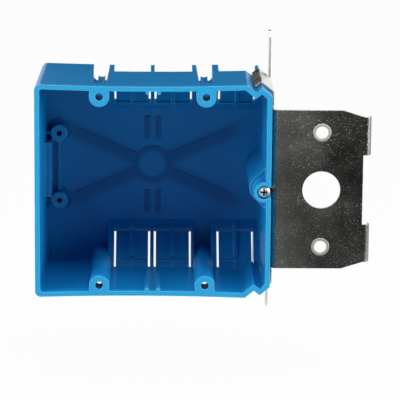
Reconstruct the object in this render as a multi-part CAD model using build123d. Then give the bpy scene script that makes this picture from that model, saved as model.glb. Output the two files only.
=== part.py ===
from build123d import *
import os
from math import hypot, pi, radians, sin, sqrt, tan

# A two-gang outlet box moulded in plastic, carried by a stamped steel bracket that hooks on a stud.
# The box slides in the bracket, and one screw beside its right wall sets how far it stands out.
# The origin is the centre of the four device holes on the plane of the rim.
# X runs to the right and Z up, and depth runs back from the rim along Y.

# Device holes, as wiring devices need them
device_pitch_x = 46.04
device_pitch_z = 83.34
device_hole_radius = 1.7
ear_radius = 4.3
ear_corner_radius = 4.1
collar_depth = 10.0

# Moulded shell
rim_left = 50.9
rim_right = 51.4
rim_half_height = 47.0
rim_bow = 0.8
corner_radius = 2.5
inner_corner_radius = 1.2
wall = 2.1
inner_depth = 60.0
back_wall = 2.0
draft = 0.75
floor_chamfer = 0.8

# Corner rails that the bracket hooks around, measured in and down from the corner of the rim
rail_width = 10.8
valley_in = 7.0
valley_drop = 3.2
ridge_in = 4.4
ridge_drop = 1.2
shoulder_drop = 4.8

# Tunnels behind the device holes, open outwards, with a rib on their floor
tunnel_wall = 1.4
tunnel_draft = 0.5
tunnel_draft_sides = 0.8
tunnel_corner = 1.2
tunnel_rib_width = 3.1
tunnel_rib_below_hole = 1.3
scallop_radius = 2.6
scallop_depth = 0.5

# Sloping back corners with cable tabs between thin fins
slope_foot = 25.6
slope_wall = 1.7
fin_corner = 1.2
fin = 1.7
centre_fin_x = -0.1
left_tunnel_fin = (3.1, 5.7)
right_tunnel_inner_fin = (-5.4, -4.1)
right_tunnel_outer_fin = (3.7, 6.3)
rail_fin = (-1.0, 0.7)
tab_slit = 0.9
tab_end_gap = 0.7
slit_front_depth = 42.0
tab_end_depth = 56.0
hinge_groove_front = 44.0
hinge_groove_width = 1.5
hinge_groove_depth = 0.8
tab_rib_width = 1.6
tab_rib_height = 0.9
tab_rib_top_depth = 40.4
tab_rib_foot_depth = 59.0
end_lip_width = 1.1
end_lip_height = 0.6

# Guides for a divider and low ribs on the back wall
guide_middle_x = 0.2
guide_spacing = 5.0
guide_width = 1.5
guide_height = 1.4
guide_round = 0.65
guide_length = 30.0
bar_width = 2.5
bar_low_z = 11.9
bar_high_z = 22.1
relief = 0.5
ring_radius = 8.4
ring_recess_radius = 6.0
ring_recess = 0.3
arm_slope = 23.3
arm_width = 4.0
arm_length = 41.0
arm_relief = 0.3

# Screw pillars and the pad beside them, at the left of the back wall
pillar_x = -42.2
pillar_spacing = 31.0
pillar_radius = 3.7
pillar_height = 7.5
pillar_hole_radius = 1.25
pillar_hole_depth = 6.0
web = 1.4
low_web_height = 1.6
pad_half_height = 12.5
pad_length = 14.0
pad_inner_x = -45.5

# Depth screw and its place in the right wall
screw_in = 3.05
screw_head_radius = 2.75
screw_head_height = 2.3
screw_head_sink = 0.7
screw_head_chamfer = 0.8
screw_shank_radius = 1.75
screw_length = 36.0
screw_tip_chamfer = 0.6
recess_arm_length = 3.6
recess_arm_width = 0.8
recess_depth = 1.5
running_clearance = 0.06
cup_radius = 4.4
cup_clearance = 0.3
cup_mouth_half = 2.4
snap_slot_half = 1.4
channel_front = 9.5
channel_radius = 5.95
channel_wall = 1.6

# Stamped bracket
sheet = 0.9
slide_clearance = 0.3
hook_lip = 4.0
hook_front = 10.0
hook_back = 44.3
hook_bend = 0.4
flange_front = 6.4
flange_half_height = 35.2
flange_bend = 1.5
notch_width = 1.5
notch_back = 26.0
plate_back = 54.0
ear_depth = 8.0
ear_reach = 63.1
ear_corner = 2.0
stud_width = 41.5
tab_bend = 1.9
stud_tab_length = 5.0
stud_tab_low_z = 15.4
stud_tab_high_z = 32.2
stud_tab_corner = 1.5
flange_notch_in = 3.4
flange_taper = 12.4
stud_hole_radius = 8.2
nail_hole_radius = 2.7
nail_hole_pitch = 50.8
nail_ring_radius = 3.85
nail_ring_rise = 0.25
nail_ring_edge = 0.6
hole_from_plate = 20.9

# Threaded tab of the bracket, cut free from the side plate and bent into the screw channel
thread_tab_depth = 22.0
thread_tab_half = 2.9
thread_tab_past_screw = 2.7
thread_tab_bend = 0.6
thread_tab_end_radius = 3.7
thread_tab_window = 0.6

# Values worked out from the sizes above
device_x = device_pitch_x / 2
device_z = device_pitch_z / 2
box_depth = inner_depth + back_wall
slope = tan(radians(draft))
screw_x = rim_right - screw_in
plate_x = rim_right + slide_clearance
far = 2 * rim_right
over = 1.0


def at(point, depth):
    # A point of the rim plane, carried back to a depth
    return (point[0], depth, point[1])


def rim_outline():
    # Corners of the outside of the box, clockwise from the top left one
    upper = [
        (-rim_left, rim_half_height),
        (rim_right - rail_width, rim_half_height),
        (rim_right - valley_in, rim_half_height - valley_drop),
        (rim_right - ridge_in, rim_half_height - ridge_drop),
        (rim_right, rim_half_height - shoulder_drop),
    ]
    lower = [(x, -z) for x, z in reversed(upper)]
    return upper + lower


def shifted(points, shifts):
    # Each side moves inward by its own distance, and the corners lie where neighbours then cross
    lines = []
    for index, shift in enumerate(shifts):
        ax, az = points[index]
        bx, bz = points[(index + 1) % len(points)]
        length = hypot(bx - ax, bz - az)
        nx = (bz - az) / length
        nz = (ax - bx) / length
        lines.append((nx, nz, nx * ax + nz * az + shift))
    corners = []
    for index, (nx, nz, reach) in enumerate(lines):
        px, pz, past = lines[index - 1]
        turn = px * nz - pz * nx
        corners.append(((past * nz - pz * reach) / turn, (px * reach - past * nx) / turn))
    return corners


def shell_shifts(moulded, straight):
    # The top, bottom and left sides take one shift, the rails and the right side the other
    return [moulded] + [straight] * 7 + [moulded, moulded]


def bowed_face(points, depth, radius):
    # The long top and bottom sides bow towards the middle, and the two left corners are round
    edges = []
    for index, start in enumerate(points):
        end = points[(index + 1) % len(points)]
        if index in (0, 8):
            inward = -rim_bow if index == 0 else rim_bow
            middle = ((start[0] + end[0]) / 2, (start[1] + end[1]) / 2 + inward)
            edges.append(ThreePointArc(at(start, depth), at(middle, depth), at(end, depth)))
        else:
            edges.append(Line(at(start, depth), at(end, depth)))
    face = make_face(edges)
    return fillet(face.vertices().group_by(Axis.X)[0], radius)


def outer_solid():
    # Outside of the shell, drafted on its top, bottom and left
    outline = rim_outline()
    rear = shifted(outline, shell_shifts(slope * box_depth, 0))
    front_face = bowed_face(outline, 0, corner_radius)
    rear_face = bowed_face(rear, box_depth, corner_radius)
    return loft([front_face, rear_face], ruled=True)


def cavity_solid():
    # Inside of the shell, drafted on every side, with its edge at the back wall broken
    outline = rim_outline()
    front = shifted(outline, shell_shifts(wall, wall))
    rear_shift = wall + slope * inner_depth
    rear = shifted(outline, shell_shifts(rear_shift, rear_shift))
    front_face = bowed_face(front, 0, inner_corner_radius)
    rear_face = bowed_face(rear, inner_depth, inner_corner_radius)
    body = loft([front_face, rear_face], ruled=True)
    return chamfer(body.faces().sort_by(Axis.Y)[-1].edges(), floor_chamfer)


def arch_face(depth, middle, half, crest, radius):
    # Upright strip that ends at its crest, with the two corners there rounded
    corners = [(middle - half, far), (middle - half, crest), (middle + half, crest), (middle + half, far)]
    face = make_face(Polyline(*[at(corner, depth) for corner in corners], close=True))
    return fillet(face.vertices().group_by(Axis.Z)[0], radius)


def drafted_arch(front, back, middle, half, crest, corner, side_draft, crest_draft):
    # Upright strip with its crest corners cut, that grows as it runs backwards
    wider = half + tan(radians(side_draft)) * (back - front)
    lower = crest - tan(radians(crest_draft)) * (back - front)
    sections = []
    for depth, side, top in ((front, half, crest), (back, wider, lower)):
        corners = [(middle - side, far), (middle - side, top + corner), (middle - side + corner, top),
                   (middle + side - corner, top), (middle + side, top + corner), (middle + side, far)]
        sections.append(make_face(Polyline(*[at(point, depth) for point in corners], close=True)))
    return loft(sections, ruled=True)


def block(x_from, x_to, y_from, y_to, z_from, z_to):
    # Box between two corners
    size = (x_to - x_from, y_to - y_from, z_to - z_from)
    return Pos(x_from, y_from, z_from) * Box(*size, align=(Align.MIN, Align.MIN, Align.MIN))


def rod(x, z, radius, front, back):
    # Cylinder along the depth
    middle = (x, (front + back) / 2, z)
    return Pos(*middle) * Rot(90, 0, 0) * Cylinder(radius, back - front)


def slope_point(depth, outward):
    # Point of the inner face of the slope at a depth, moved outwards square to it
    step = outward / sqrt(2)
    return (depth + step, slope_foot + inner_depth - depth + step)


def slope_prism(x_from, x_to, corners):
    # Prism across the box on corners given as depth and height
    face = make_face(Polyline(*[(x_from, depth, height) for depth, height in corners], close=True))
    return extrude(face, amount=x_to - x_from, dir=(1, 0, 0))


def slope_wedge(x_from, x_to, outward):
    # All that lies beyond the slope, moved outwards
    foot = slope_point(inner_depth + 2 * back_wall, outward)
    top = slope_point(0, outward)
    return slope_prism(x_from, x_to, [foot, top, (foot[0], top[1])])


def fin_faces():
    # Left and right face of each fin, from left to right
    return [
        (left_tunnel_fin[0] - device_x, left_tunnel_fin[1] - device_x),
        (centre_fin_x - fin / 2, centre_fin_x + fin / 2),
        (device_x + right_tunnel_inner_fin[0], device_x + right_tunnel_inner_fin[1]),
        (device_x + right_tunnel_outer_fin[0], device_x + right_tunnel_outer_fin[1]),
        (rim_right - ridge_in + rail_fin[0], rim_right - ridge_in + rail_fin[1]),
    ]


def mirrored(shape):
    # The same shape at the bottom of the box
    return mirror(shape, Plane.XY)


def tunnel_mass(middle):
    # Rounded hump that stands into the box under a device hole
    face = arch_face(0, middle, ear_radius, device_z - ear_radius, ear_corner_radius)
    return extrude(face, amount=inner_depth, dir=(0, 1, 0))


def tunnel_void(middle):
    # Outer channel of the tunnel, less the scalloped rib on its floor
    half = ear_radius - tunnel_wall
    crest = device_z - ear_radius + tunnel_wall
    channel = drafted_arch(collar_depth, box_depth + over, middle, half, crest, tunnel_corner,
                           tunnel_draft_sides, tunnel_draft)
    rib_half = tunnel_rib_width / 2
    rib_top = device_z - tunnel_rib_below_hole
    rib = block(middle - rib_half, middle + rib_half, collar_depth, box_depth, 0, rib_top)
    scallop_z = rib_top - scallop_depth + scallop_radius
    scallop = rod(middle, scallop_z, scallop_radius, collar_depth, box_depth + over)
    return channel - (rib - scallop)


def device_hole(middle):
    # Screw hole through the collar
    return rod(middle, device_z, device_hole_radius, 0, collar_depth + over)


def guide(middle):
    # Half-round guide under the top wall
    crest = rim_half_height - rim_bow - wall - guide_height
    face = arch_face(0, middle, guide_width / 2, crest, guide_round)
    return extrude(face, amount=guide_length, dir=(0, 1, 0))


def fin_corner_cut():
    # Wedge that breaks the outer back corner of the fins
    top = rim_half_height - slope * box_depth
    past = box_depth + over
    corners = [(box_depth - fin_corner, top + over), (box_depth - fin_corner, top),
               (box_depth, top - fin_corner), (past, top - fin_corner), (past, top + over)]
    return slope_prism(-device_x, rim_right + over, corners)


def tab_cuts(left, right):
    # Two slits and an end gap free the tab, and a groove inside lets it hinge
    through = 2 * slope_wall
    slit = [
        slope_point(slit_front_depth, -slope_wall),
        slope_point(tab_end_depth, -slope_wall),
        slope_point(tab_end_depth, through),
        slope_point(slit_front_depth, through),
    ]
    end_depth = tab_end_depth - tab_end_gap / sqrt(2)
    end = [slope_point(end_depth, -slope_wall), slit[1], slit[2], slope_point(end_depth, through)]
    hinge_middle = hinge_groove_front + hinge_groove_width / 2
    groove = [
        slope_point(hinge_groove_front, 0),
        slope_point(hinge_groove_front, -slope_wall),
        slope_point(hinge_groove_front + hinge_groove_width, -slope_wall),
        slope_point(hinge_groove_front + hinge_groove_width, 0),
        slope_point(hinge_middle, hinge_groove_depth),
    ]
    cuts = slope_prism(left, left + tab_slit, slit)
    cuts += slope_prism(right - tab_slit, right, slit)
    cuts += slope_prism(left, right, end)
    cuts += slope_prism(left, right, groove)
    return cuts


def slope_rib(left, right, front, back, height):
    # Raised bar on the inner side of the slope
    corners = [slope_point(front, slope_wall / 2), slope_point(front, -height),
               slope_point(back, -height), slope_point(back, slope_wall / 2)]
    return slope_prism(left, right, corners)


def tab_ribs(left, right):
    # Stiffening rib along the middle of a tab and past its ends, and a lip behind the tab's end gap
    middle = (left + right) / 2
    half = tab_rib_width / 2
    bars = slope_rib(middle - half, middle + half, tab_rib_top_depth, tab_rib_foot_depth, tab_rib_height)
    return bars + slope_rib(left, right, tab_end_depth, tab_end_depth + end_lip_width, end_lip_height)


def teardrop(radius, front, back, reach):
    # Round towards the box, with flanks at 45 degrees that open towards the right
    side = radius * sin(pi / 4)
    start = (screw_x - side, side)
    end = (reach, side + reach - start[0])
    low = (start[0], -start[1])
    face = make_face([
        Line(at(start, front), at(end, front)),
        Line(at(end, front), at((reach, -end[1]), front)),
        Line(at((reach, -end[1]), front), at(low, front)),
        ThreePointArc(at(low, front), at((screw_x - radius, 0), front), at(start, front)),
    ])
    return extrude(face, amount=back - front, dir=(0, 1, 0))


def screw_place():
    # What is cut for the screw: the cup for its head, the snap-in slot and the channel for its shank
    shelf = screw_head_sink + screw_head_height
    cup = rod(screw_x, 0, screw_head_radius + cup_clearance, 0, shelf)
    cup += block(screw_x, far, 0, shelf, -cup_mouth_half, cup_mouth_half)
    channel_start = channel_front + channel_wall
    shank = rod(screw_x, 0, screw_shank_radius + running_clearance, 0, channel_start + over)
    shank += block(screw_x, far, 0, channel_start + over, -snap_slot_half, snap_slot_half)
    channel = teardrop(channel_radius - channel_wall, channel_start, box_depth + over, rim_right + over)
    return cup + shank + channel


def pillar(z):
    # Screw pillar on the back wall with a web to the left wall
    body = rod(pillar_x, z, pillar_radius, inner_depth - pillar_height, inner_depth)
    return body + block(-rim_left + wall / 2, pillar_x, inner_depth - pillar_height + web, inner_depth,
                        z - web / 2, z + web / 2)


def back_wall_relief():
    # Ring, four slanted arms and short bars, all low on the back wall
    ring = rod(0, 0, ring_radius, inner_depth - relief, inner_depth)
    ring -= rod(0, 0, ring_recess_radius, 0, inner_depth - relief + ring_recess)
    raised = Part() + ring
    arm_start = (ring_radius + ring_recess_radius) / 2
    arm = block(arm_start, arm_length, inner_depth - arm_relief, inner_depth, -arm_width / 2, arm_width / 2)
    for turn in (arm_slope, -arm_slope, 180 + arm_slope, 180 - arm_slope):
        raised += Rot(0, turn, 0) * arm
    for middle in (guide_middle_x - guide_spacing / 2, guide_middle_x + guide_spacing / 2):
        side = bar_width / 2
        bar = block(middle - side, middle + side, inner_depth - relief, inner_depth, bar_low_z, bar_high_z)
        raised += bar + mirrored(bar)
    return raised


def inner_features(bays):
    # All that is added to the shell: tab ribs, back wall relief, pillars and pad
    added = back_wall_relief()
    for left, right in bays:
        ribs = tab_ribs(left, right)
        added += ribs + mirrored(ribs)
    half = pillar_spacing / 2
    added += pillar(-half) + pillar(half)
    low_web_front = inner_depth - low_web_height
    pad_front = inner_depth - pad_length
    in_wall = -rim_left + wall / 2
    added += block(pillar_x - web / 2, pillar_x + web / 2, low_web_front, inner_depth, -half, half)
    added += block(in_wall, pad_inner_x, pad_front, inner_depth, -pad_half_height, pad_half_height)
    return added


def box_body():
    # The whole moulding
    fins = fin_faces()
    bays = [(fins[0][1], fins[1][0]), (fins[1][1], fins[2][0]), (fins[3][1], fins[4][0])]
    right_end = rim_right + back_wall
    guides = (guide_middle_x - guide_spacing / 2, guide_middle_x + guide_spacing / 2)
    half_mass = slope_wedge(fins[0][0], fins[2][1], 0) + slope_wedge(fins[3][0], right_end, 0)
    half_mass += tunnel_mass(-device_x) + tunnel_mass(device_x) + guide(guides[0]) + guide(guides[1])
    voids = tunnel_void(-device_x) + tunnel_void(device_x) + device_hole(-device_x) + device_hole(device_x)
    for left, right in bays:
        voids += slope_wedge(left, right, slope_wall) + tab_cuts(left, right)
    voids += slope_wedge(fins[4][1], right_end, slope_wall) + fin_corner_cut()
    inside = cavity_solid() - (half_mass + mirrored(half_mass))
    inside -= teardrop(channel_radius, channel_front, inner_depth, right_end)
    inside -= rod(screw_x, 0, cup_radius, 0, channel_front)
    body = outer_solid() - inside + inner_features(bays)
    body -= voids + mirrored(voids)
    body -= screw_place()
    top = inner_depth - pillar_height
    for z in (-pillar_spacing / 2, pillar_spacing / 2):
        body -= rod(pillar_x, z, pillar_hole_radius, top, top + pillar_hole_depth)
    return body


def towards(start, end, distance):
    # Point at a distance from the start on the way to the end
    length = hypot(end[0] - start[0], end[1] - start[1])
    return (start[0] + (end[0] - start[0]) * distance / length,
            start[1] + (end[1] - start[1]) * distance / length)


def rail_strip():
    # Section of the sheet that runs from hook to hook around the rails, at a clearance from them
    outline = rim_outline()
    inner = shifted(outline, [-slide_clearance] * len(outline))
    outer = shifted(outline, [-slide_clearance - sheet] * len(outline))
    inner_tip = towards(inner[3], inner[2], hook_lip - sheet)
    edge_x = inner[3][0] - inner[2][0]
    edge_z = inner[3][1] - inner[2][1]
    length = hypot(edge_x, edge_z)
    outer_tip = (inner_tip[0] - edge_z / length * sheet, inner_tip[1] + edge_x / length * sheet)
    upper = [inner_tip, inner[3], inner[4]]
    upper_out = [outer_tip, outer[3], outer[4]]
    points = upper + [(x, -z) for x, z in reversed(upper)] + [(x, -z) for x, z in upper_out] + upper_out[::-1]
    face = make_face(Polyline(*[at(point, hook_front) for point in points], close=True))
    for bends, radius in ((inner[3:5], hook_bend), (outer[3:5], hook_bend + sheet)):
        for x, z in bends:
            for height in (z, -z):
                corner = face.vertices().sort_by_distance(Vector(x, hook_front, height))[0]
                face = fillet(corner, radius)
    return extrude(face, amount=hook_back - hook_front, dir=(0, 1, 0))


def bent_strip(points, thickness, bends, half_height):
    # Flat sheet folded along a path in plan, its outside on the path, with one bend for each corner
    def offset_point(index):
        before = points[max(index - 1, 0)]
        here = points[index]
        after = points[min(index + 1, len(points) - 1)]
        shift_x = 0
        shift_y = 0
        for start, end in ((before, here), (here, after)):
            length = hypot(end[0] - start[0], end[1] - start[1])
            if length > 0:
                step_x = (start[1] - end[1]) / length * thickness
                step_y = (end[0] - start[0]) / length * thickness
                shift_x = step_x if abs(step_x) > abs(shift_x) else shift_x
                shift_y = step_y if abs(step_y) > abs(shift_y) else shift_y
        return (here[0] + shift_x, here[1] + shift_y)

    inside = [offset_point(index) for index in range(len(points))]
    face = make_face(Polyline(*points, *reversed(inside), close=True))
    for index, bend in enumerate(bends, start=1):
        for corner, radius in ((points[index], bend + thickness), (inside[index], bend)):
            vertex = face.vertices().sort_by_distance(Vector(*corner, 0))[0]
            face = fillet(vertex, radius)
    return extrude(face, amount=half_height, both=True)


def stud_flange():
    # Side plate, flange and stud tabs as one folded strip, then its notch, tapers and holes
    edge_x = plate_x + sheet + stud_width + sheet
    path = [
        (plate_x, plate_back),
        (plate_x, flange_front),
        (edge_x, flange_front),
        (edge_x, flange_front + stud_tab_length),
    ]
    strip = bent_strip(path, sheet, [flange_bend, tab_bend], flange_half_height)
    tab_end = flange_front + stud_tab_length
    before = flange_front - over
    behind = tab_end + over
    notch = block(edge_x - flange_notch_in, edge_x + over, before, behind, -stud_tab_low_z, stud_tab_low_z)
    taper_top = flange_half_height + over
    taper = make_face(Polyline(
        (edge_x - flange_taper, before, flange_half_height),
        (edge_x - tab_bend - sheet, before, stud_tab_high_z),
        (edge_x + over, before, stud_tab_high_z),
        (edge_x + over, before, taper_top),
        (edge_x - flange_taper, before, taper_top),
        close=True))
    taper_cut = extrude(taper, amount=stud_tab_length + 2 * over, dir=(0, 1, 0))
    strip -= notch + taper_cut + mirrored(taper_cut)
    across = strip.edges().filter_by(Axis.X)
    corners = [edge for edge in across if abs(edge.center().Y - tab_end) < sheet / 2]
    strip = fillet(corners, stud_tab_corner)
    hole_x = plate_x + sheet + hole_from_plate
    strip -= rod(hole_x, 0, stud_hole_radius, before, flange_front + 2 * sheet)
    for z in (-nail_hole_pitch / 2, nail_hole_pitch / 2):
        strip += rod(hole_x, z, nail_ring_radius, flange_front - nail_ring_rise, flange_front)
        strip -= rod(hole_x, z, nail_ring_radius - nail_ring_edge, flange_front + sheet - nail_ring_rise,
                     flange_front + sheet)
        strip -= rod(hole_x, z, nail_hole_radius, before, flange_front + 2 * sheet)
    return strip


def thread_tab():
    # Tab bent in from the side plate, round at its end, with the threaded hole for the screw
    end_x = screw_x - thread_tab_past_screw
    back = thread_tab_depth + sheet
    path = [(plate_x + sheet, thread_tab_depth - thread_tab_half), (plate_x + sheet, back), (end_x, back)]
    tab = bent_strip(path, sheet, [thread_tab_bend], thread_tab_half)
    rounded = rod(screw_x, 0, thread_tab_end_radius, 0, plate_back)
    tab &= rounded + block(screw_x, far, 0, plate_back, -thread_tab_half, thread_tab_half)
    return tab - rod(screw_x, 0, screw_shank_radius + running_clearance, 0, plate_back)


def mounting_bracket():
    # The whole stamping
    reach = plate_x + sheet
    shoulder = rim_half_height - shoulder_drop
    body = rail_strip() + stud_flange()
    body += block(plate_x, reach, hook_back - sheet, plate_back, -shoulder, shoulder)
    ear = block(plate_x, reach, plate_back - ear_depth, plate_back, 0, ear_reach)
    ear = chamfer(ear.edges().filter_by(Axis.X).group_by(Axis.Z)[-1].sort_by(Axis.Y)[0], ear_corner)
    body += ear + mirrored(ear)
    inside = plate_x - sheet
    outside = reach + sheet
    notch_top = flange_half_height + notch_width
    notch = block(inside, outside, 0, notch_back, flange_half_height, notch_top)
    body -= notch + mirrored(notch)
    window_half = thread_tab_half + thread_tab_window
    window_back = thread_tab_depth + thread_tab_half + screw_in + thread_tab_past_screw
    window_front = thread_tab_depth - thread_tab_bend
    body -= block(inside, outside, window_front, window_back, -window_half, window_half)
    return body + thread_tab()


def depth_screw():
    # Head with a broken edge and a cross recess, and a plain shank that stands for the fine thread
    shelf = screw_head_sink + screw_head_height
    head = rod(screw_x, 0, screw_head_radius, screw_head_sink, shelf)
    head = chamfer(head.edges().group_by(Axis.Y)[0], screw_head_chamfer)
    shank = rod(screw_x, 0, screw_shank_radius, shelf, shelf + screw_length)
    shank = chamfer(shank.edges().group_by(Axis.Y)[-1], screw_tip_chamfer)
    reach = recess_arm_length / 2
    half = recess_arm_width / 2
    arm = block(screw_x - reach, screw_x + reach, 0, screw_head_sink + recess_depth, -half, half)
    cross = arm + Pos(screw_x, 0, 0) * Rot(0, 90, 0) * Pos(-screw_x, 0, 0) * arm
    return head + shank - cross


os.makedirs("parts", exist_ok=True)
pieces = {
    "box_body": box_body(),
    "mounting_bracket": mounting_bracket(),
    "depth_screw": depth_screw(),
}
for name, piece in pieces.items():
    export_step(piece, "parts/" + name + ".step")
    print(name, round(piece.volume, 1), piece.bounding_box())
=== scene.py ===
import math

import bmesh
import bpy
import numpy as np
from mathutils import Matrix, Vector


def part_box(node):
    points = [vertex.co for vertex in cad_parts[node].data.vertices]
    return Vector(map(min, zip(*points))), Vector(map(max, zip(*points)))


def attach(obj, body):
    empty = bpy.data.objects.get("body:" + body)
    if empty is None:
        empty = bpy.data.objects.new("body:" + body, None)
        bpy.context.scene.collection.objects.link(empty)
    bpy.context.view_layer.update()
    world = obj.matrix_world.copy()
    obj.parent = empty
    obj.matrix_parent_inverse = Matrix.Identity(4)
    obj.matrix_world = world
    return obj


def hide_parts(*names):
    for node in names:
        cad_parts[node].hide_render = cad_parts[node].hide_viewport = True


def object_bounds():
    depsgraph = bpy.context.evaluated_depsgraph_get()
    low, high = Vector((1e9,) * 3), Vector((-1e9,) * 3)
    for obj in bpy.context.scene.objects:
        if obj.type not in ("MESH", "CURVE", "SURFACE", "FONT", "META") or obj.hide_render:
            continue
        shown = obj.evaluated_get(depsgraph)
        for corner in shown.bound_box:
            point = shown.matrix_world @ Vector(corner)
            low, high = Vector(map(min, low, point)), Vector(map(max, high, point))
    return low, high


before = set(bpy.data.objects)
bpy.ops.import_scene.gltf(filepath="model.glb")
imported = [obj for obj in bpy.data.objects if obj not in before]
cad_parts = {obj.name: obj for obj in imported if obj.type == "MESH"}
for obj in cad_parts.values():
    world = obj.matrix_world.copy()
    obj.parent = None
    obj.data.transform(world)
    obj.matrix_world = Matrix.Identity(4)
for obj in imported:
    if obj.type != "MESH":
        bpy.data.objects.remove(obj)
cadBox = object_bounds()
print("frame loaded:", ", ".join(sorted(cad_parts)))

mm = 0.001

cameraView = {
    "pitch": 12.5,              # degrees down
    "yaw": 1.066,               # degrees towards +X
    "roll": 0.509,
    "aim": (20.64, 0, -3.32),   # mm, on the plane of the rim
    "distance": 1100,           # mm
    "lens": 228.8,              # mm
    "sensor": 36,               # mm
    "clip": (0.05, 20),         # m
}

studio = {
    "floorDrop": 26,            # mm under the lowest point
    "floorSize": 3000,
    "floorColour": "#f4f4f2",
    "floorRoughness": 0.9,
    "surround": "#b9bcc0",      # dim light from all round, which gloss does not see
    "surroundStrength": 0.06,
    "whiteStrength": 1.0,
    "cardColour": "#1c1d1f",
    "shadowVeil": 0.96,         # share of plain white over the floor's shadow
}


def linearColour(code):
    # sRGB hex to linear: c / 12.92 up to 0.04045, and ((c + 0.055) / 1.055) to the power 2.4 above it
    parts = [int(code[i:i + 2], 16) / 255 for i in (1, 3, 5)]
    return tuple(c / 12.92 if c <= 0.04045 else ((c + 0.055) / 1.055) ** 2.4 for c in parts) + (1.0,)


def addNode(tree, kind, fields=None, inputs=None):
    # One node: its fields are set, and each input takes a value or a link
    node = tree.nodes.new(kind)
    for key, value in (fields or {}).items():
        setattr(node, key, value)
    for key, value in (inputs or {}).items():
        if isinstance(value, bpy.types.NodeSocket):
            tree.links.new(value, node.inputs[key])
        else:
            node.inputs[key].default_value = value
    return node


def newMaterial(name):
    material = bpy.data.materials.new(name)
    material.use_nodes = True
    tree = material.node_tree
    tree.nodes.clear()
    shader = addNode(tree, "ShaderNodeBsdfPrincipled")
    addNode(tree, "ShaderNodeOutputMaterial", inputs={"Surface": shader.outputs["BSDF"]})
    return material, tree, shader


def mathNode(tree, operation, *values):
    # One arithmetic step on values or links
    node = addNode(tree, "ShaderNodeMath", {"operation": operation}, dict(enumerate(values)))
    return node.outputs["Value"]


def product(tree, first, *others):
    # The values multiplied together
    for other in others:
        first = mathNode(tree, "MULTIPLY", first, other)
    return first


def largest(tree, first, *others):
    # The greatest of the values
    for other in others:
        first = mathNode(tree, "MAXIMUM", first, other)
    return first


def away(tree, value, middle):
    # Distance from a middle: |value - middle|
    return mathNode(tree, "ABSOLUTE", mathNode(tree, "SUBTRACT", value, middle))


def radiusOf(tree, first, second):
    # Square root of first squared plus second squared
    squares = mathNode(tree, "ADD", product(tree, first, first), product(tree, second, second))
    return mathNode(tree, "SQRT", squares)


def ramp(tree, value, fromMin, fromMax, toMin=0.0, toMax=1.0):
    # Straight line between two values, held at its ends
    node = addNode(tree, "ShaderNodeMapRange", {}, {
        "Value": value, "From Min": fromMin, "From Max": fromMax, "To Min": toMin, "To Max": toMax})
    return node.outputs["Result"]


def band(tree, value, low, high):
    # Rises from 0 to 1 over the pair low and falls back to 0 over the pair high, both in mm
    return product(tree, ramp(tree, value, low[0] * mm, low[1] * mm),
                   ramp(tree, value, high[0] * mm, high[1] * mm, 1.0, 0.0))


def blend(tree, factor, first, second):
    # Colour between two: first * (1 - factor) + second * factor
    node = addNode(tree, "ShaderNodeMix", {"data_type": "RGBA"}, {"Factor": factor, "A": first, "B": second})
    return node.outputs["Result"]


def noise(tree, where, size, inputs=None):
    # Noise whose blobs are about size mm across
    fields = {"Vector": where, "Scale": 1 / (size * mm)}
    fields.update(inputs or {})
    return addNode(tree, "ShaderNodeTexNoise", {}, fields).outputs["Fac"]


def bevelled(tree, look):
    # Normal of an edge rounded by a radius, as the average over some samples
    return addNode(tree, "ShaderNodeBevel", {"samples": look["edgeSamples"]}, {
        "Radius": look["edge"] * mm}).outputs["Normal"]


def edgeMask(tree, bevel, fade):
    # 0 on a flat and 1 on an edge: one less the cosine between the rounded and the true normal
    true = addNode(tree, "ShaderNodeNewGeometry").outputs["True Normal"]
    same = addNode(tree, "ShaderNodeVectorMath", {"operation": "DOT_PRODUCT"}, {0: bevel, 1: true})
    return ramp(tree, mathNode(tree, "SUBTRACT", 1.0, same.outputs["Value"]), *fade)


def splitPlace(tree, where):
    # The x, y and z of a place
    axes = addNode(tree, "ShaderNodeSeparateXYZ", {}, {"Vector": where})
    return [axes.outputs[key] for key in "XYZ"]


mouldedPvc = {
    "paintedRimLight": "#1c96cb",     # painted light: the rim is given a lighter tone than the rest, standing in for the light its front catches
    "colour": "#1584c2",
    "deepColour": "#1078b5",
    # painted highlight along the moulded edges
    "paintedEdgeHighlight": "#62c0ee",
    # painted shade in bands on the back wall
    "wallShadeColour": "#0a5a93",
    "cloudSize": 22,            # mm, slow drift of the colour
    "grain": 0.25,              # mm, fine grain of the surface
    "grainDetail": 1.0,
    "grainStrength": 0.12,
    "grainRelief": 0.01,        # mm
    "edge": 0.5,                # mm, rounding of moulded edges
    "edgeSamples": 6,
    "edgeFade": (0.02, 0.12),
    "edgeHighlightShare": 0.85,
    "softDepth": (57, 58.8),    # mm, past which edges are neither rounded nor given the painted highlight
    "roughness": 0.3,
    "ior": 1.53,
    "specular": 0.11,           # low, fitted to the photo
    "rimSpecular": 0.35,
    "rimDepth": (1, 4),         # mm, where the rim's look fades out
    "wallFront": (59.1, 59.4),  # mm, depths over which the back wall's painted shade bands fade in
    "wallBack": (60.3, 60.6),   # and out
    "armSlope": 0.43,           # rise over run of the four arms
    "armHalf": (1.65, 5.5),     # mm, where an arm's band starts to fade and where it ends
    "armEnds": (34, 46),
    "ringMiddle": 7.4,          # mm
    "ringHalf": (0.44, 2.2),
    "ringEdge": (7.4, 8.4),     # mm from the centre, over which the arms fade in
    "barMiddle": 2.5,
    "barHalf": (0.91, 1.69),
    "barLow": (11.1, 12.1),
    "barHigh": (21.9, 22.9),
    "wallShadeShare": 0.75,
}


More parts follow.
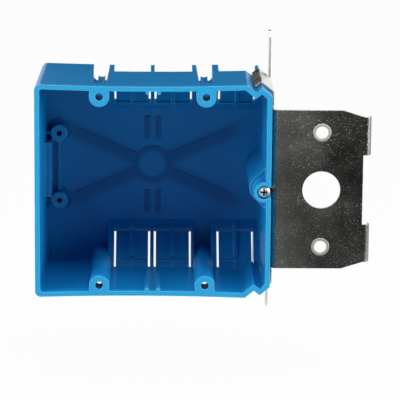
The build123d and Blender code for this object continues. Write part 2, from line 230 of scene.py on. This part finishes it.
def paintedWallShade(tree, where, look):
    # Painted shade: darker bands on the back wall that stand in for the shade round its low ribs and ring:
    # four arms, where | |z| - slope |x| | is small, a ring about the centre, and two bars above and two
    # below it
    x, y, z = splitPlace(tree, where)
    aside = mathNode(tree, "ABSOLUTE", x)
    height = mathNode(tree, "ABSOLUTE", z)
    radius = radiusOf(tree, x, z)

    def fade(value, ends):
        return ramp(tree, value, ends[0] * mm, ends[1] * mm, 1.0, 0.0)

    arms = fade(away(tree, height, product(tree, aside, look["armSlope"])), look["armHalf"])
    outside = ramp(tree, radius, look["ringEdge"][0] * mm, look["ringEdge"][1] * mm)
    arms = product(tree, arms, fade(aside, look["armEnds"]), outside)
    ring = fade(away(tree, radius, look["ringMiddle"] * mm), look["ringHalf"])
    bars = product(tree, band(tree, height, look["barLow"], look["barHigh"]),
                   fade(away(tree, aside, look["barMiddle"] * mm), look["barHalf"]))
    onWall = band(tree, y, look["wallFront"], look["wallBack"])
    return product(tree, largest(tree, arms, ring, bars), onWall, look["wallShadeShare"])


def makeMouldedPvc(look):
    # Blue PVC, injection moulded: even colour, soft satin gloss, painted shade in bands on the back wall,
    # a lighter rim as painted light and a painted highlight along the edges
    material, tree, shader = newMaterial("mouldedBluePvc")
    where = addNode(tree, "ShaderNodeTexCoord").outputs["Object"]
    depth = splitPlace(tree, where)[1]
    cloud = noise(tree, where, look["cloudSize"])
    grain = noise(tree, where, look["grain"], {"Detail": look["grainDetail"]})
    rounded = bevelled(tree, look)
    offWall = ramp(tree, depth, look["softDepth"][0] * mm, look["softDepth"][1] * mm, 1.0, 0.0)
    plain = addNode(tree, "ShaderNodeNewGeometry").outputs["Normal"]
    normal = addNode(tree, "ShaderNodeMix", {"data_type": "VECTOR"}, {
        "Factor": offWall, "A": plain, "B": rounded}).outputs["Result"]
    skin = addNode(tree, "ShaderNodeBump", {}, {
        "Strength": look["grainStrength"], "Distance": look["grainRelief"] * mm,
        "Height": grain, "Normal": normal}).outputs["Normal"]
    behindRim = ramp(tree, depth, look["rimDepth"][0] * mm, look["rimDepth"][1] * mm)
    # Painted highlight: a paler tone along the edges
    edgeHighlight = product(tree, edgeMask(tree, rounded, look["edgeFade"]), offWall, look["edgeHighlightShare"])
    tint = blend(tree, cloud, linearColour(look["colour"]), linearColour(look["deepColour"]))
    # Painted shade: darker bands on the back wall
    tint = blend(tree, paintedWallShade(tree, where, look), tint, linearColour(look["wallShadeColour"]))
    # Painted light: the front rim takes a lighter tone, standing in for the light it catches
    tint = blend(tree, behindRim, linearColour(look["paintedRimLight"]), tint)
    tint = blend(tree, edgeHighlight, tint, linearColour(look["paintedEdgeHighlight"]))
    tree.links.new(tint, shader.inputs["Base Color"])
    tree.links.new(skin, shader.inputs["Normal"])
    tree.links.new(ramp(tree, behindRim, 0.0, 1.0, look["rimSpecular"], look["specular"]),
                   shader.inputs["Specular IOR Level"])
    shader.inputs["Roughness"].default_value = look["roughness"]
    shader.inputs["IOR"].default_value = look["ior"]
    return material


zincSheet = {
    "colour": "#94958f",
    "dark": "#7e7f79",
    "paintedHighlightColour": "#d8d9d4",   # painted highlight: the hooks' outsides and the ears are made brighter, standing in for the white surroundings they reflect
    "highlightNear": (46.8, 47.2),  # mm along x, where the painted highlight begins and ends
    "highlightFar": (52.4, 53.4),
    "highlightFrom": (37, 42),      # mm, |z| where it begins
    # colour of the grains, the scratches and the coined rings, and of the painted highlight along the edges
    "speck": "#f0f1ea",
    "speckSize": 0.7,           # mm, bright grains of the coating
    "speckShare": 0.65,         # of the cells, that hold a grain
    "speckRadius": (0.12, 0.34),
    "speckPeak": 0.8,
    "speckCloud": (0.35, 0.65),
    "speckThin": 0.5,           # of the grains' strength between clouds
    "streakAcross": 0.5,        # mm, rolling marks
    "streakAlong": 9,
    "streakDetail": 2.0,
    "streakSpread": (0.35, 0.65),
    "streakTint": 0.06,
    "streakStrength": 0.04,
    "streakRelief": 0.01,       # mm
    "cloudSize": 14,
    "cloudDetail": 4.0,
    "cloudSpread": (0.3, 0.7),
    "cloudTint": 0.9,
    "scratchSize": 16,          # mm, hair scratches
    "scratchDetail": 0.0,
    "scratchBend": 1.2,
    "scratchWidth": (0.001, 0.005),
    "scratchShare": 0.5,
    "scratchCloud": (0.5, 0.6),
    "edge": 0.3,
    "edgeSamples": 6,
    "edgeFade": (0.02, 0.2),
    "edgeHighlightShare": 0.8,
    "roughness": (0.2, 0.3),
    "frost": 0.6,               # roughness that grains, edges and rings add
    "ringAt": (73.5, 25.4),     # mm, x and |z| of the nail holes' coined rings
    "ringEdge": (3.8, 3.9),
    "ringShare": 0.45,
}


def coinedRings(tree, where, look):
    # 1 inside a radius round each nail hole, from x and |z|
    x, _, z = splitPlace(tree, where)
    across = mathNode(tree, "SUBTRACT", x, look["ringAt"][0] * mm)
    upright = mathNode(tree, "SUBTRACT", mathNode(tree, "ABSOLUTE", z), look["ringAt"][1] * mm)
    inner, outer = look["ringEdge"]
    return ramp(tree, radiusOf(tree, across, upright), inner * mm, outer * mm, 1.0, 0.0)


def brightGrains(tree, where, cloud, look):
    # A round spot in each random cell, as bright as the cell's random value lies above a limit,
    # and stronger in the clouds
    cells = addNode(tree, "ShaderNodeTexVoronoi", {}, {
        "Vector": where, "Scale": 1 / (look["speckSize"] * mm)})
    pick = addNode(tree, "ShaderNodeSeparateColor", {}, {"Color": cells.outputs["Color"]}).outputs["Red"]
    spot = ramp(tree, cells.outputs["Distance"], *look["speckRadius"], 1.0, 0.0)
    bright = ramp(tree, pick, 1 - look["speckShare"], 1.0, 0.0, look["speckPeak"])
    return product(tree, spot, bright, ramp(tree, cloud, *look["speckCloud"], look["speckThin"], 1.0))


def hairScratches(tree, where, cloud, look):
    # Thin lines where a bent noise crosses its middle value, in the clouds only
    bend = noise(tree, where, look["scratchSize"], {
        "Detail": look["scratchDetail"], "Distortion": look["scratchBend"]})
    line = ramp(tree, away(tree, bend, 0.5), *look["scratchWidth"], look["scratchShare"], 0.0)
    return product(tree, line, ramp(tree, cloud, *look["scratchCloud"]))


def makeZincSheet(look):
    # Zinc-plated sheet steel, stamped: dull grey with dense fine bright grains, faint rolling streaks,
    # hair scratches, a painted highlight along the edges and coined rings
    material, tree, shader = newMaterial("stampedZincSheet")
    where = addNode(tree, "ShaderNodeTexCoord").outputs["Object"]
    x, _, z = splitPlace(tree, where)
    cloud = noise(tree, where, look["cloudSize"], {"Detail": look["cloudDetail"]})
    across, along = 1 / (look["streakAcross"] * mm), 1 / (look["streakAlong"] * mm)
    stretch = addNode(tree, "ShaderNodeMapping", {}, {"Vector": where, "Scale": (across, across, along)})
    streak = addNode(tree, "ShaderNodeTexNoise", {}, {
        "Vector": stretch.outputs["Vector"], "Scale": 1.0, "Detail": look["streakDetail"]}).outputs["Fac"]
    rounded = bevelled(tree, look)
    onEdge = edgeMask(tree, rounded, look["edgeFade"])
    speck = product(tree, brightGrains(tree, where, cloud, look), mathNode(tree, "SUBTRACT", 1.0, onEdge))
    scratch = hairScratches(tree, where, cloud, look)
    ring = product(tree, coinedRings(tree, where, look), look["ringShare"])
    drift = mathNode(tree, "ADD", ramp(tree, cloud, *look["cloudSpread"], 0.0, look["cloudTint"]),
                     ramp(tree, streak, *look["streakSpread"], 0.0, look["streakTint"]))
    height = mathNode(tree, "ABSOLUTE", z)
    # Painted highlight on the hooks' outsides and the ears
    paintedHighlight = product(tree, band(tree, x, look["highlightNear"], look["highlightFar"]),
                    ramp(tree, height, look["highlightFrom"][0] * mm, look["highlightFrom"][1] * mm))
    # Grains, scratches and coined rings, with a painted highlight along the edges
    marksAndEdgeHighlight = largest(tree, speck, scratch, product(tree, onEdge, look["edgeHighlightShare"]), ring)
    tint = blend(tree, drift, linearColour(look["dark"]), linearColour(look["colour"]))
    tint = blend(tree, paintedHighlight, tint, linearColour(look["paintedHighlightColour"]))
    tint = blend(tree, marksAndEdgeHighlight, tint, linearColour(look["speck"]))
    rough = mathNode(tree, "ADD", ramp(tree, cloud, *look["cloudSpread"], *look["roughness"]),
                     product(tree, largest(tree, speck, onEdge, ring), look["frost"]))
    relief = addNode(tree, "ShaderNodeBump", {}, {
        "Strength": look["streakStrength"], "Distance": look["streakRelief"] * mm,
        "Height": streak, "Normal": rounded}).outputs["Normal"]
    tree.links.new(tint, shader.inputs["Base Color"])
    tree.links.new(rough, shader.inputs["Roughness"])
    tree.links.new(relief, shader.inputs["Normal"])
    shader.inputs["Metallic"].default_value = 1.0
    return material


zincScrew = {
    "colour": "#eeefec",
    "shade": "#cfd0cd",
    "recess": "#34373b",        # painted shade in the cross
    "recessRadius": 2.0,        # mm
    "recessDepth": (0.6, 2.1),
    "cloudSize": 1.6,
    "cloudSpread": (0.3, 0.7),
    "roughness": (0.24, 0.34),
}


def makeZincScrew(look):
    # Zinc-plated steel, cold headed and rolled: brighter than the sheet, with painted shade in its cross
    material, tree, shader = newMaterial("brightZincScrew")
    where = addNode(tree, "ShaderNodeTexCoord").outputs["Object"]
    x, y, z = splitPlace(tree, where)
    cloud = noise(tree, where, look["cloudSize"])
    low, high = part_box("depth_screw")
    radius = radiusOf(tree, mathNode(tree, "SUBTRACT", x, (low.x + high.x) / 2), z)
    start, stop = (low.y + depth * mm for depth in look["recessDepth"])
    # Painted shade inside the driver's cross
    crossShade = product(tree, mathNode(tree, "LESS_THAN", radius, look["recessRadius"] * mm),
                      mathNode(tree, "GREATER_THAN", y, start), mathNode(tree, "LESS_THAN", y, stop))
    tint = blend(tree, cloud, linearColour(look["colour"]), linearColour(look["shade"]))
    tint = blend(tree, crossShade, tint, linearColour(look["recess"]))
    tree.links.new(tint, shader.inputs["Base Color"])
    rough = ramp(tree, cloud, *look["cloudSpread"], *look["roughness"])
    tree.links.new(rough, shader.inputs["Roughness"])
    shader.inputs["Metallic"].default_value = 1.0
    return material


depthScrew = {
    "headRadius": 2.75,         # mm
    "headHeight": 2.3,
    "domeShare": 0.6,           # of the head's height
    "crossLength": 3.7,
    "crossWidth": 0.85,
    "crossDepth": 1.5,
    "crossTaper": 0.14,
    "crossEndTaper": 0.56,
    "domeRings": 40,
    "stepsPerTurn": 10,
    "ridgeSlope": 1.6,          # steepness of a thread's flanks
    "ridgeSink": 0.3,           # how far the ridge is lowered, which leaves a flat root
    "pointLength": 1.2,         # mm, over which the tip narrows
    "pointShare": 0.25,         # of the radius, that narrows
    "pointLeast": 0.25,         # of that share, which is left at the tip
    "shankRadius": 1.74,
    "rootRadius": 1.36,
    "pitch": 0.794,             # 32 threads to the inch
    "around": 96,
}


def gridMesh(name, points):
    # Mesh on a grid of points: rows run round and are joined end to end, and quads fill in between
    rows, columns = points.shape[:2]
    index = np.arange(rows * columns).reshape(rows, columns)
    ahead = np.roll(index, -1, axis=1)
    quads = np.stack([index[:-1], ahead[:-1], ahead[1:], index[1:]], axis=-1).reshape(-1, 4)
    mesh = bpy.data.meshes.new(name)
    mesh.from_pydata(points.reshape(-1, 3).tolist(), [], quads.tolist())
    mesh.polygons.foreach_set("use_smooth", np.ones(len(mesh.polygons), dtype=bool))
    thing = bpy.data.objects.new(name, mesh)
    bpy.context.scene.collection.objects.link(thing)
    return thing


def mergeMesh(thing, gap=1e-6):
    # Joins doubled points, so poles close, and turns every face outwards
    work = bmesh.new()
    work.from_mesh(thing.data)
    bmesh.ops.remove_doubles(work, verts=work.verts, dist=gap)
    bmesh.ops.recalc_face_normals(work, faces=work.faces)
    work.to_mesh(thing.data)
    work.free()


def makeDepthScrew(look):
    # A surface turned about the screw's axis: each ring has a radius and a depth.
    # The dome is a quarter of an ellipse, sunk by a cross whose walls taper.
    # The shank's radius swings between root and crest as depth / pitch - angle / turn runs from 0 to 1.
    low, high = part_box("depth_screw")
    axisX = (low.x + high.x) / 2 / mm
    front = low.y / mm
    tip = high.y / mm
    angle = np.linspace(0, 2 * np.pi, look["around"], endpoint=False)[None, :]
    domeHeight = look["headHeight"] * look["domeShare"]
    ringRadius = look["headRadius"] * np.sin(np.linspace(0, np.pi / 2, look["domeRings"]))[:, None]
    rise = np.sqrt(np.clip(1 - (ringRadius / look["headRadius"]) ** 2, 0, 1))
    domeDepth = front + domeHeight * (1 - rise)
    across = ringRadius * np.cos(angle)
    upright = ringRadius * np.sin(angle)

    def armDepth(along, beside):
        # How far into one arm of the cross a point lies, from 0 at its edge to 1 at its floor
        side = (look["crossWidth"] / 2 - np.abs(beside)) / look["crossTaper"]
        end = (look["crossLength"] / 2 - np.abs(along)) / look["crossEndTaper"]
        return np.clip(np.minimum(side, end), 0, 1)

    sunk = np.maximum(armDepth(across, upright), armDepth(upright, across)) * look["crossDepth"]
    dome = np.stack([across, np.maximum(domeDepth, front + sunk), upright], axis=-1)
    shelf = front + look["headHeight"]
    rim = [(look["headRadius"], front + domeHeight), (look["headRadius"], shelf),
           (look["shankRadius"], shelf)]
    rimRadius, rimDepth = np.array(rim).T[:, :, None]
    flat = np.stack([rimRadius * np.cos(angle), rimDepth + 0 * angle, rimRadius * np.sin(angle)], axis=-1)
    steps = int((tip - shelf) / look["pitch"] * look["stepsPerTurn"])
    depth = np.linspace(shelf, tip, steps)[:, None]
    phase = (depth / look["pitch"] - angle / (2 * np.pi)) % 1.0
    ridge = np.clip(look["ridgeSlope"] * (1 - 2 * np.abs(phase - 0.5)) - look["ridgeSink"], 0, 1)
    share = look["pointShare"]
    fade = np.clip((tip - depth) / look["pointLength"], look["pointLeast"], 1.0)
    threaded = look["rootRadius"] + (look["shankRadius"] - look["rootRadius"]) * ridge
    radius = threaded * (1 - share + share * fade)
    shank = np.stack([radius * np.cos(angle), depth + 0 * angle, radius * np.sin(angle)], axis=-1)
    end = np.stack([0 * angle, tip + 0 * angle, 0 * angle], axis=-1)
    points = np.concatenate([dome, flat, shank, end])
    points[..., 0] += axisX
    screw = gridMesh("depthScrew", points * mm)
    mergeMesh(screw)
    screw.data.polygons.foreach_set("use_smooth", np.ones(len(screw.data.polygons), dtype=bool))
    return screw


footRing = {
    "at": (-42.2, 15.5),        # mm, x and |z| of the two screw pillars
    "middle": 5.15,
    "half": 0.45,
    "height": 0.4,
    "wall": 60,                 # mm, depth of the inside of the back wall
    "around": 64,
    "over": 9,
}


def makeFootRing(name, look, side, material):
    # Low ridge round a pillar's foot: radius middle + half * cos t, and height * sin t off the back wall
    turn = np.linspace(0, 2 * np.pi, look["around"], endpoint=False)[None, :]
    over = np.linspace(0, np.pi, look["over"])[:, None]
    radius = look["middle"] + look["half"] * np.cos(over)
    lift = look["height"] * np.sin(over)
    points = np.stack([look["at"][0] + radius * np.cos(turn), look["wall"] - lift + 0 * turn,
                       side * look["at"][1] + radius * np.sin(turn)], axis=-1)
    ring = gridMesh(name, points * mm)
    ring.data.materials.append(material)
    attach(ring, "box")


def placeCamera(look):
    # The camera looks down by the pitch and aside by the yaw at the aim point, and rolls about its own axis
    pitch, yaw, roll = (math.radians(look[key]) for key in ("pitch", "yaw", "roll"))
    forward = Vector((math.sin(yaw) * math.cos(pitch), math.cos(yaw) * math.cos(pitch), -math.sin(pitch)))
    level = forward.cross(Vector((0, 0, 1))).normalized()
    above = level.cross(forward)
    right = level * math.cos(roll) + above * math.sin(roll)
    up = above * math.cos(roll) - level * math.sin(roll)
    place = (Vector(look["aim"]) - forward * look["distance"]) * mm
    turn = Matrix((right, up, -forward)).transposed().to_4x4()
    lens = bpy.data.cameras.new("camera")
    lens.lens = look["lens"]
    lens.sensor_width = look["sensor"]
    lens.clip_start, lens.clip_end = look["clip"]
    camera = bpy.data.objects.new("camera", lens)
    bpy.context.scene.collection.objects.link(camera)
    camera.matrix_world = Matrix.Translation(place) @ turn
    bpy.context.scene.camera = camera


lamps = {
    # place and target in mm, size in mm, power in watts
    "leftLamp": {"place": (-1000, -420, 150), "target": (0, 0, 0), "size": (500, 600), "power": 10.2},
    "rightLamp": {"place": (1000, -420, 150), "target": (0, 0, 0), "size": (500, 600), "power": 11.2},
    "topLamp": {"place": (20, -300, 900), "target": (20, 20, 0), "size": (900, 500), "power": 6.3},
}


def addLamp(name, look):
    # A soft rectangular lamp that faces its target
    lamp = bpy.data.lights.new(name, "AREA")
    lamp.shape = "RECTANGLE"
    lamp.size, lamp.size_y = look["size"][0] * mm, look["size"][1] * mm
    lamp.energy = look["power"]
    thing = bpy.data.objects.new(name, lamp)
    bpy.context.scene.collection.objects.link(thing)
    place = Vector(look["place"])
    turn = (Vector(look["target"]) - place).to_track_quat("-Z", "Y").to_matrix().to_4x4()
    thing.matrix_world = Matrix.Translation(place * mm) @ turn


darkCards = {
    # four corners in mm: dark cards that only gloss and metal see. A gap between them lights the screw,
    # the ears and the hooks
    "frontCard": [(-120, -260, -88), (42, -260, -88), (42, -260, -20), (-120, -260, -20)],
    "floorCard": [(-120, -260, -88.5), (42, -260, -88.5), (42, -115, -88.5), (-120, -115, -88.5)],
    "gapCard": [(42, -260, -50), (66, -260, -50), (66, -260, -22), (42, -260, -22)],
    "gapFloorCard": [(42, -260, -88.5), (66, -260, -88.5), (66, -205, -88.5), (42, -205, -88.5)],
    "sideCard": [(66, -260, -88), (600, -260, -88), (600, -260, 60), (66, -260, 60)],
    "sideFloorCard": [(66, -260, -88.5), (600, -260, -88.5), (600, -40, -88.5), (66, -40, -88.5)],
    "rearCard": [(-70, 350, 20), (80, 350, 20), (80, 350, 220), (-70, 350, 220)],
}


def addCard(name, corners, colour):
    # A flat card between four corners that the camera doesn't see and that throws no shadow
    mesh = bpy.data.meshes.new(name)
    mesh.from_pydata([tuple(v * mm for v in corner) for corner in corners], [], [(0, 1, 2, 3)])
    card = bpy.data.objects.new(name, mesh)
    bpy.context.scene.collection.objects.link(card)
    material, tree, shader = newMaterial(name + "Cloth")
    shader.inputs["Base Color"].default_value = linearColour(colour)
    shader.inputs["Roughness"].default_value = 1.0
    card.data.materials.append(material)
    card.visible_camera = False
    card.visible_shadow = False
    card.visible_diffuse = False


def seenPlainly(tree):
    # 1 for camera, glossy and transmission rays
    rays = addNode(tree, "ShaderNodeLightPath").outputs
    return largest(tree, rays["Is Camera Ray"], rays["Is Glossy Ray"], rays["Is Transmission Ray"])


def makeStudio(look):
    # Pale floor, dark cards, and a world that is white to the camera, gloss and glass and dim to the rest
    lowest = cadBox[0].z / mm - look["floorDrop"]
    half = look["floorSize"] / 2
    corners = [(-half, -half), (half, -half), (half, half), (-half, half)]
    mesh = bpy.data.meshes.new("floor")
    mesh.from_pydata([(x * mm, y * mm, lowest * mm) for x, y in corners], [], [(0, 1, 2, 3)])
    floor = bpy.data.objects.new("floor", mesh)
    bpy.context.scene.collection.objects.link(floor)
    material, tree, shader = newMaterial("paleFloor")
    shader.inputs["Base Color"].default_value = linearColour(look["floorColour"])
    shader.inputs["Roughness"].default_value = look["floorRoughness"]
    output = next(node for node in tree.nodes if node.type == "OUTPUT_MATERIAL")
    seen = addNode(tree, "ShaderNodeEmission", {}, {"Color": (1, 1, 1, 1), "Strength": 1.0})
    veil = addNode(tree, "ShaderNodeMixShader", {}, {
        0: look["shadowVeil"], 1: shader.outputs["BSDF"], 2: seen.outputs["Emission"]})
    shown = addNode(tree, "ShaderNodeMixShader", {}, {
        0: seenPlainly(tree), 1: shader.outputs["BSDF"], 2: veil.outputs["Shader"]})
    tree.links.new(shown.outputs["Shader"], output.inputs["Surface"])
    floor.data.materials.append(material)

    for name, corners in darkCards.items():
        addCard(name, corners, look["cardColour"])

    world = bpy.data.worlds.new("surround")
    world.use_nodes = True
    bpy.context.scene.world = world
    tree = world.node_tree
    tree.nodes.clear()
    room = addNode(tree, "ShaderNodeBackground", {}, {
        "Color": linearColour(look["surround"]), "Strength": look["surroundStrength"]})
    white = addNode(tree, "ShaderNodeBackground", {}, {
        "Color": (1, 1, 1, 1), "Strength": look["whiteStrength"]})
    mix = addNode(tree, "ShaderNodeMixShader", {}, {
        0: seenPlainly(tree), 1: room.outputs["Background"], 2: white.outputs["Background"]})
    addNode(tree, "ShaderNodeOutputWorld", {}, {"Surface": mix.outputs["Shader"]})


placeCamera(cameraView)
makeStudio(studio)
for lampName, lampLook in lamps.items():
    addLamp(lampName, lampLook)
print("camera and studio placed")

pvc = makeMouldedPvc(mouldedPvc)
sheet = makeZincSheet(zincSheet)
bright = makeZincScrew(zincScrew)
print("materials made")


def dressNode(name, material):
    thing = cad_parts[name]
    thing.data.materials.clear()
    thing.data.materials.append(material)


dressNode("box_body", pvc)
dressNode("mounting_bracket", sheet)
screw = makeDepthScrew(depthScrew)
screw.data.materials.append(bright)
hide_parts("depth_screw")
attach(screw, "screw")
for name, side in (("upperFootRing", 1), ("lowerFootRing", -1)):
    makeFootRing(name, footRing, side, pvc)
print("pieces dressed")

bpy.context.scene.view_settings.view_transform = "Standard"
bpy.context.view_layer.update()
